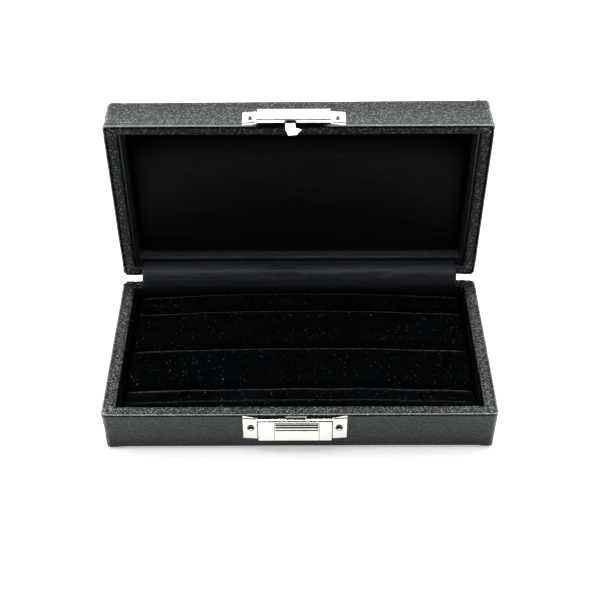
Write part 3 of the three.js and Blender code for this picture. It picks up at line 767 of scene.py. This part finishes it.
def ring_pad():
    """Velvet over slotted foam: crowned ribs with soft shoulders, the pile pulled down into the slits."""
    low, high = span("ring_pad_velvet")
    slits = [(low[1] + high[1]) / 2 + 0.9 + offset for offset in (-SLIT_PITCH, 0.0, SLIT_PITCH)]
    bottom, top, slit_bottom = low[2], high[2], 9.2
    shoulder, half_slit = 3.6, 0.32
    edges = [low[1]] + [e for y in slits for e in (y - half_slit, y + half_slit)] + [high[1]]
    section = [(edges[0], bottom)]
    for i in range(0, len(edges), 2):
        y0, y1 = edges[i], edges[i + 1]
        if i:
            section += [(y0, z) for z in np.linspace(slit_bottom + 0.8, top - shoulder, 4)[:-1]]
        else:
            section += [(y0, z) for z in np.linspace(bottom, top - shoulder, 5)[1:-1]]
        section += [(y, z) for y, z in arc((y0 + shoulder, top - shoulder), shoulder, 180, 90, 14)]
        section += [(y, top) for y in np.linspace(y0 + shoulder, y1 - shoulder, 10)[1:-1]]
        section += [(y, z) for y, z in arc((y1 - shoulder, top - shoulder), shoulder, 90, 0, 14)]
        if i + 2 < len(edges):
            section += [(y1, z) for z in np.linspace(top - shoulder, slit_bottom + 0.8, 4)[1:]]
            section.append(((y1 + edges[i + 2]) / 2, slit_bottom))
        else:
            section += [(y1, z) for z in np.linspace(top - shoulder, bottom, 5)[1:]]
    half = high[0]
    round_end = 2.1
    ends = [-half + round_end * (1 - math.cos(a)) for a in np.linspace(0, math.pi / 2, 7)]
    middle = np.linspace(-half + round_end, half - round_end, 96)[1:-1]
    xs = [*ends, *middle, *(-x for x in ends[::-1])]
    points, splay = [], []
    for x in xs:
        into_end = max(0, abs(x) - (half - round_end))
        drop = round_end - math.sqrt(max(0, round_end ** 2 - into_end ** 2))
        for y, z in section:
            lift = max(0, (z - slit_bottom) / (top - slit_bottom))
            crown = (2.2 + 0.012 * (y - low[1])) * (1 - (x / half) ** 2)
            rib = 0.35 * math.cos((y / SLIT_PITCH - 0.5) * 2 * math.pi)
            soft = 0.3 * wobble((x, y, z), 17, 2.0) + 0.12 * wobble((x, y, z), 5, 4.0)
            z2 = z + lift * (crown + rib * 0.4 + soft - drop)
            y2 = y + lift * 0.3 * wobble((x, y * 0.2, z), 21, 6.0)
            y2 = min(max(y2, low[1]), high[1] + 0.3)
            points.append((x, y2, z2))
            # Painted sheen: a pale line along each rib's rear shoulder and along the front rib's shoulder,
            # fading towards the ends.
            before = min((e - y for e in edges[1::2] if e >= y), default=9)
            rim = bell(before - 1.45, 0.95) * (z > top - shoulder * 0.8)
            if abs(y - low[1] - shoulder) < 0.4:
                rim = 0.3
            fade = min(1, (half - abs(x)) / 5.0)
            splay.append(rim * fade)
    cols = len(section)
    faces = loop_grid(len(xs), cols, False, True)
    faces.append(tuple(range(cols)))
    faces.append(tuple(range((len(xs) - 1) * cols, len(xs) * cols)))
    pad = new_piece("ring_pad_cover", points, faces, VELVET, "base", "ring_pad_velvet")
    paint(pad, "splay", splay)


def ceiling_pad():
    """Satin stretched over thin foam: puffed face, drawn-in corners, one faint crease along the top."""
    low, high = span("lid_ceiling_satin")
    back, face = high[1], low[1]
    depth = back - face
    mid_z, tuck = (low[2] + high[2]) / 2, 0.2
    half_x, half_z = high[0] + tuck, (high[2] - low[2]) / 2 + tuck
    us = np.sin(np.linspace(-math.pi / 2, math.pi / 2, 111))
    vs = np.sin(np.linspace(-math.pi / 2, math.pi / 2, 71))
    edge_wall = 1.5
    front, rear, dim = [], [], []
    for v in vs:
        for u in us:
            # Painted shade: darker along the top and towards both ends.
            dim.append(min(0.95, 0.92 * bell(1 - v, 0.42) + 0.6 * abs(u) ** 7))
            x, z = u * half_x, mid_z + v * half_z
            shoulder = min(1, (half_x - abs(x)) / 3.4), min(1, (half_z - abs(z - mid_z)) / 3.4)
            edge = math.prod(math.sqrt(max(0, 1 - (1 - s) ** 2)) for s in shoulder)
            dome = 2.1 * (1 - abs(u) ** 7) * (1 - abs(v) ** 4)
            crease = -0.22 * bell(v - 0.62, 0.03) * (1 - u * u)
            ripple = 0.16 * wobble((x, 0, z), 13, 9.0) + 0.05 * wobble((x, 0, z), 4, 3.0)
            thick = edge_wall + edge * (depth - edge_wall + 0.1 + dome + crease + ripple)
            front.append((x, back - thick, z))
            rear.append((x, back, z))
    faces = closed_sheet(len(vs), len(us))
    pad = new_piece("lid_ceiling_cover", front + rear, faces, SATIN, "lid", "lid_ceiling_satin")
    paint(pad, "dim", dim + dim)


# ---------------- cloth hinge

def gusset():
    """Satin strip from the lid's back wall over both rims and down behind the pad, slack in the middle."""
    inside_y = HALF_D - RIM_WIDTH - 0.42
    inside_z = LID_BACK_Z + RIM_WIDTH + 0.42
    path, length = smooth_path([
        (LID_RIM_Y + 5.5, inside_z), (LID_RIM_Y + 2.5, inside_z), (LID_RIM_Y + 0.2, inside_z + 0.15),
        (HALF_D - 1.0, inside_z - 0.5), (HALF_D - 3.4, BASE_RIM + 4.6), (inside_y + 0.1, BASE_RIM + 2.2),
        (inside_y - 0.45, BASE_RIM - 0.4), (inside_y - 0.1, BASE_RIM - 3.5), (inside_y, BASE_RIM - 9)], 48)
    half = span("hinge_gusset")[1][0] - 1.3
    xs = np.linspace(-half, half, 151)

    def slack(s, x):
        free = bell(s - 0.42, 0.2)
        dimple = -0.9 * bell(x + 9, 7) * bell(s - 0.33, 0.09)
        folds = 0.34 * wobble((x, s * 30, 0), 11, 5.0) + 0.16 * wobble((x, s * 40, 0), 4.5, 8.0)
        pulls = 0.22 * math.sin(x * 0.21 + 3 * s) * free
        return free * (folds + 0.25) + dimple + pulls * 0.5 + 0.05 * wobble((x, s * 20, 0), 2.5, 1.0)

    points, faces = thick_strip(path, GUSSET_CLOTH, xs, slack)
    obj = new_piece("hinge_gusset_cloth", points, faces, GUSSET_SATIN, None, "hinge_gusset")
    # Painted shade: dark at the start by the lid's back wall, clear over the top, darker again down behind
    # the pad.
    dim = np.interp(np.linspace(0, 1, len(path)), [0, 0.05, 0.08, 0.3, 0.42, 0.6, 1],
                    [0.97, 0.95, 0, 0, 0.35, 0.7, 0.8])
    paint(obj, "dim", np.tile(np.repeat(dim, len(xs)), 2))
    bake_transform(obj)


def spine():
    """Leatherette strip glued over both back faces; it bends between them."""
    off = 0.45
    path, length = smooth_path([
        (HALF_D + off, BASE_RIM - 8), (HALF_D + off, BASE_RIM - 4), (HALF_D + off, BASE_RIM - 1.5),
        (HALF_D + 0.75, BASE_RIM + 0.25), (HALF_D + 1.45, BASE_RIM + 1.1),
        (LID_RIM_Y + 1.2, LID_BACK_Z - off), (LID_RIM_Y + 3.5, LID_BACK_Z - off),
        (LID_RIM_Y + 8, LID_BACK_Z - off)], 36)
    half = span("hinge_spine")[1][0] - 0.7
    xs = np.linspace(-half, half, 91)

    def wave(s, x):
        bend = bell(s - 0.5, 0.12)
        return 0.07 * wobble((x, s * 18, 0), 9, 2.5) + 0.1 * wobble((x, s * 18, 0), 3.5, 7.5) * bend

    points, faces = thick_strip(path, SPINE_CLOTH, xs, wave)
    obj = new_piece("hinge_spine_strip", points, faces, LEATHER_PLAIN, None, "hinge_spine")
    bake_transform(obj)


# ---------------- metal

PLATED, GROOVED, SHADED_INSIDE = range(3)


def bevelled(bm, edges, width, segments):
    bmesh.ops.bevel(bm, geom=edges, offset=width * MM, segments=segments, profile=0.5, affect="EDGES",
                    clamp_overlap=True, material=-1)


def softened(node, body, finish, width=0.12, segments=3, shape=None):
    """A CAD metal piece, shaped further by shape(bm), with its sharp edges rounded to catch the light."""
    flat, sharp = math.radians(1.5), math.radians(24)
    bm = bmesh.new()
    bm.from_mesh(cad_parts[node].data)
    bmesh.ops.remove_doubles(bm, verts=bm.verts, dist=COINCIDE)
    bmesh.ops.dissolve_limit(bm, angle_limit=flat, verts=bm.verts, edges=bm.edges)
    for face in bm.faces:
        face.material_index = PLATED
    if shape:
        shape(bm)
    edges = [e for e in bm.edges if len(e.link_faces) == 2 and e.calc_face_angle(0) > sharp]
    bevelled(bm, edges, width, segments)
    mesh = bpy.data.meshes.new(f"{node}_plated")
    bm.to_mesh(mesh)
    bm.free()
    obj = linked(f"{node}_plated", mesh)
    mesh.shade_smooth()
    for material in (finish, DARK_NICKEL, INSIDE_SHADE_FINISH):
        mesh.materials.append(material)
    obj.modifiers.new("weighted", "WEIGHTED_NORMAL").keep_sharp = True
    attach(obj, body)
    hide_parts(node)


def pressed_plate(node, body, middle, face, out, rimwards, bend):
    """A pressed plate: rounded ear corners, ears leaning back, lips bent a little and creased, painted dark
    reflections in the bends. The face stands at `face` mm along `out`; `bend` is where it turns, in mm along
    `rimwards`."""
    ear_half = span("lock_plate")[1][0] - middle_x("lock_plate")
    out, rimwards = Vector(out), Vector(rimwards)

    def place_of(v):
        return abs(v.co.x / MM - middle), v.co.dot(out) / MM - face, v.co.dot(rimwards) / MM - bend

    def shape(bm):
        corners = [e for e in bm.edges
                   if all(abs(place_of(v)[0] - ear_half) < 0.05 for v in e.verts)
                   and abs((e.verts[0].co - e.verts[1].co).normalized().dot(out)) > 0.6
                   and e.calc_face_angle(0) > 0.8]
        bevelled(bm, corners, 0.55, 4)
        creases, folds = [], []
        for e in bm.edges:
            ends = np.array([place_of(v) for v in e.verts])
            long = abs(e.verts[0].co.x - e.verts[1].co.x) > 2 * MM
            if not long or np.abs(ends[:, 2]).max() > 0.25 or e.calc_face_angle(0) < 0.8:
                continue
            if ends[:, 0].min() > PLATE_STEP - 0.4 and ends[:, 1].min() > 1.05:
                creases.append(e)
            elif ends[:, 0].max() < PLATE_STEP + 0.7 and ends[:, 1].min() > 2.0:
                folds.append(e)
        for v in bm.verts:
            across, _, beyond = place_of(v)
            on_lip = across > PLATE_STEP - 0.1 and beyond > 0.05
            if on_lip:
                v.co += (rimwards * 0.15 + out * 0.4) * (beyond * MM)
            if across > EAR_START:
                v.co -= out * (0.075 * (across - EAR_START) * MM)
            if on_lip and v.co.dot(out) / MM - face < 0.06:
                v.co += out * (0.06 * MM + face * MM - v.co.dot(out))
        bevelled(bm, creases, 0.22, 1)
        bevelled(bm, folds, 0.42, 6)

    finish = nickel(f"{node}_nickel", bends=(middle, tuple(out), face, tuple(rimwards), bend))
    softened(node, body, finish, shape=shape)


def grip_grooves(bm):
    """Widen and deepen the slide's grip grooves: their sides are dark brown, painted shade, and the wings
    behind the lock plate black, painted shade."""
    front = min(v.co.y for v in bm.verts)
    for depth_share, centre in ((1.45, BASE_RIM - 3.85), (1.45, BASE_RIM - 5.4), (1.0, BASE_RIM - 7.2)):
        for v in bm.verts:
            if abs(v.co.z / MM - centre) < 0.5 and v.co.y < front + 0.6 * MM:
                v.co.z = centre * MM + (v.co.z - centre * MM) * depth_share
                v.co.y = front + (v.co.y - front) * depth_share
    wing_front = 0.42 - HALF_D - 2.2
    for f in bm.faces:
        deep = f.calc_center_median().y > front + 0.1 * MM
        if deep and 0.3 < abs(f.normal.z) < 0.95 and f.normal.y < -0.2 and abs(f.normal.x) < 0.2:
            f.material_index = GROOVED
        if f.calc_center_median().y / MM > wing_front:
            f.material_index = SHADED_INSIDE


def bolt_shaded_inside(bm):
    """The spring bolt is black behind its bevelled nose, painted shade; the nose by the hook stays bright."""
    nose = middle_x("lock_plate") + 2.3
    bmesh.ops.bisect_plane(bm, geom=bm.verts[:] + bm.edges[:] + bm.faces[:], plane_co=(nose * MM, 0, 0),
                           plane_no=(1, 0, 0))
    for f in bm.faces:
        if f.calc_center_median().x / MM < nose:
            f.material_index = SHADED_INSIDE


def screw_dark_reflection(across, above):
    """Painted dark reflection in the upper arc of a screw's dome and across its middle, but not on the very
    middle.
    """
    r = math.hypot(across, above)
    upper = bell(r - 1.15, 0.45) * min(1, max(0, 1.6 * above / (r + 0.01) + 0.35))
    recess = bell(across, 0.6) * bell(above + 0.35, 0.28)
    bright = bell(math.hypot(across, above - 0.05), 0.3)
    return min(1, 1.5 * max(upper, recess)) * (1 - bright)


def dimple_shade(across, above):
    """Painted shade in the nail-set dimple."""
    return min(1, 1.4 * bell(across, 0.85) * bell(above + 0.5, 0.28))


def domed_pin(name, node, body, centre, out, above, painted_dark):
    """A round-headed pin with a nail-set dimple, standing on the ear of a plate."""
    low, high = span(node)
    out = Vector(out)
    depth = (high - low).max() - 1.0
    profile = [(0.0, 1.1), (0.12, 1.12), (0.22, 1.16), (0.32, 1.2), (0.46, 1.2), (0.66, 1.12), (0.9, 0.97),
               (1.13, 0.76), (1.34, 0.52), (1.5, 0.28), (1.62, 0.04), (1.56, -0.02), (0.42, -0.04),
               (0.42, -depth + 0.6), (0.0, -depth)]
    side = Vector((1, 0, 0))
    up = out.cross(side)
    points, turns = [], 32
    for k in range(turns):
        a = 2 * math.pi * k / turns
        for r, h in profile:
            points.append(Vector(centre) + (side * math.cos(a) + up * math.sin(a)) * r + out * h)
    faces = loop_grid(turns, len(profile), True, False)
    obj = new_piece(name, [tuple(p) for p in points], faces, NICKEL, body, node)
    clean_up(obj.data, merge=True)
    from_centre = [v.co / MM - Vector(centre) for v in obj.data.vertices]
    paint(obj, "tarnish", [painted_dark(p.x, p.dot(Vector(above))) for p in from_centre])


def metalwork():
    middle, lid_front = middle_x("lock_plate"), LID_BACK_Z + 2 * HALF_D
    pressed_plate("lock_plate", "base", middle, HALF_D, (0, -1, 0), (0, 0, 1), BASE_RIM - 1.6)
    pressed_plate("catch_plate", "lid", middle, lid_front, (0, 0, 1), (0, -1, 0), -LID_RIM_Y - 1.1)
    softened("thumb_slide", "thumb_slide", NICKEL, 0.06, 2, grip_grooves)
    softened("latch_bolt", "latch_bolt", NICKEL, 0.08, shape=bolt_shaded_inside)
    softened("catch_hook", "lid", NICKEL, 0.1)
    for side in ("left", "right"):
        x, _, z = sum(span(f"lock_screw_{side}")) / 2
        domed_pin(f"lock_screw_{side}_dome", f"lock_screw_{side}", "base", (x, -HALF_D - 0.88, z),
                  (0, -1, 0), (0, 0, 1), screw_dark_reflection)
        x, y, _ = sum(span(f"catch_pin_{side}")) / 2
        domed_pin(f"catch_pin_{side}_dome", f"catch_pin_{side}", "lid", (x, y, lid_front + 0.88),
                  (0, 0, 1), (0, 1, 0), dimple_shade)
    show_with("lock_back_plate", DULL_NICKEL)
    coil_spring()


def coil_spring():
    """The slide's spring, which shortens as the slide is pushed down; here a steel copy of the CAD coil that
    rides on the base and keeps its length.
    """
    show_with("slide_spring", STEEL)
    obj = linked("slide_spring_coil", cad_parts["slide_spring"].data.copy())
    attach(obj, "base")
    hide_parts("slide_spring")
    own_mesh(obj)


def show_with(node, finish):
    """A CAD node keeps its shape and gets this material."""
    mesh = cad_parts[node].data
    mesh.materials.clear()
    mesh.materials.append(finish)


# ---------------- the object

def build():
    wrapped_tray("base_cover_wrap", BASE_RIM, base_place, "base", "base_cover", 1.0, "outside", (0.32, 2.6),
                 0.75)
    wrapped_tray("lid_cover_wrap", LID_HEIGHT, lid_place, "lid", "lid_cover", 14.0, "rim", (1.0, 0.9), 0.4)
    closing_sheet("base_bottom_lining", base_place, "base", "base_bottom_sheet", 0)
    closing_sheet("lid_top_skin", lid_place, "lid", "lid_top_sheet", 0.25)
    for i, side in enumerate(("left", "right", "front")):
        wrapped_card(f"base_liner_{side}_velvet", f"base_liner_{side}", "base", VELVET, seed=3 + i)
    for i, side in enumerate(("left", "right", "front", "back")):
        cloth = LEDGE_SATIN if side == "back" else LINER_SATIN
        wrapped_card(f"lid_liner_{side}_satin", f"lid_liner_{side}", "lid", cloth, 0.45, 0.1, 11 + i)
    ring_pad()
    ceiling_pad()
    gusset()
    spine()
    metalwork()
    board = raw_board()
    finishes = {"wall": board, "board": board, "card": grey_card(), "foam": open_foam()}
    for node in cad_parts:
        finish = finishes.get(node.rpartition("_")[2])
        if finish:
            show_with(node, finish)


# ---------------- studio and camera

def studio():
    """A pale floor under a soft sky: bright overhead and behind, dim where the viewer stands."""
    world = bpy.data.worlds.new("studio")
    scene.world = world
    world.use_nodes = True
    tree = world.node_tree
    background = tree.nodes["Background"]
    sky = tree.nodes.new("ShaderNodeTexCoord")
    facing = tree.nodes.new("ShaderNodeVectorMath")
    facing.operation = "DOT_PRODUCT"
    facing.inputs[1].default_value = (0.0, -0.77, 0.64)
    dimming = tree.nodes.new("ShaderNodeMapRange")
    for socket, value in ((1, 0.35), (2, 0.8), (3, 1.7), (4, 0.03)):
        dimming.inputs[socket].default_value = value
    tree.links.new(sky.outputs["Generated"], facing.inputs[0])
    tree.links.new(facing.outputs["Value"], dimming.inputs["Value"])
    tree.links.new(dimming.outputs[0], background.inputs["Strength"])
    background.inputs["Color"].default_value = (1, 1, 1, 1)
    floor = Finish("pale_floor")
    tone = floor.noise(0.004, 2)
    floor.set(Base_Color=floor.mix(tone, grey(0.86), grey(0.9)), Roughness=0.8, Specular_IOR_Level=0.2)
    floor.set(Emission_Color=grey(1.0), Emission_Strength=0.42)
    mesh = bpy.data.meshes.new("floor")
    far = 6.0
    mesh.from_pydata([(-far, -far, 0), (far, -far, 0), (far, far, 0), (-far, far, 0)], [], [(0, 1, 2, 3)])
    mesh.materials.append(floor.material)
    linked("floor", mesh)
    softbox("back_top", (0.0, 0.95, 1.05), (0.85, 0.32), 21.5)
    softbox("overhead", (0.0, -0.08, 1.25), (0.5, 0.35), 3.0)
    softbox("front_low", (0.0, -1.3, 0.13), (1.8, 0.2), 1.2)
    softbox("key_left", (-1.0, 0.1, 0.9), (0.5, 0.5), 4)
    scene.view_settings.view_transform = "Standard"
    scene.view_settings.look = "None"


def softbox(name, place, size, power):
    light = bpy.data.lights.new(name, "AREA")
    light.shape = "RECTANGLE"
    light.size, light.size_y = size
    light.energy = power
    obj = linked(name, light)
    obj.location = place
    aim = Vector((0, 0.02, 0.04)) - Vector(place)
    obj.rotation_euler = aim.to_track_quat("-Z", "Y").to_euler()


def camera():
    """Seen from the front and above, a little below 43 degrees, with a 64 mm lens."""
    tilt, turn, roll = (math.radians(a) for a in (42.875, 0.137, -0.112))
    distance, target = 0.45461, Vector((0.00017, 0, 0.047855))
    data = bpy.data.cameras.new("camera")
    data.sensor_width = 36
    data.lens = 63.6
    data.clip_start = 0.01
    forward = Vector((math.sin(turn) * math.cos(tilt), math.cos(turn) * math.cos(tilt), -math.sin(tilt)))
    right = forward.cross(Vector((0, 0, 1))).normalized()
    up = right.cross(forward)
    across = right * math.cos(roll) + up * math.sin(roll)
    above = up * math.cos(roll) - right * math.sin(roll)
    obj = linked("camera", data)
    axes = Matrix((across, above, -forward)).transposed()
    obj.matrix_world = Matrix.Translation(target - forward * distance) @ axes.to_4x4()
    scene.camera = obj


camera()
studio()
build()
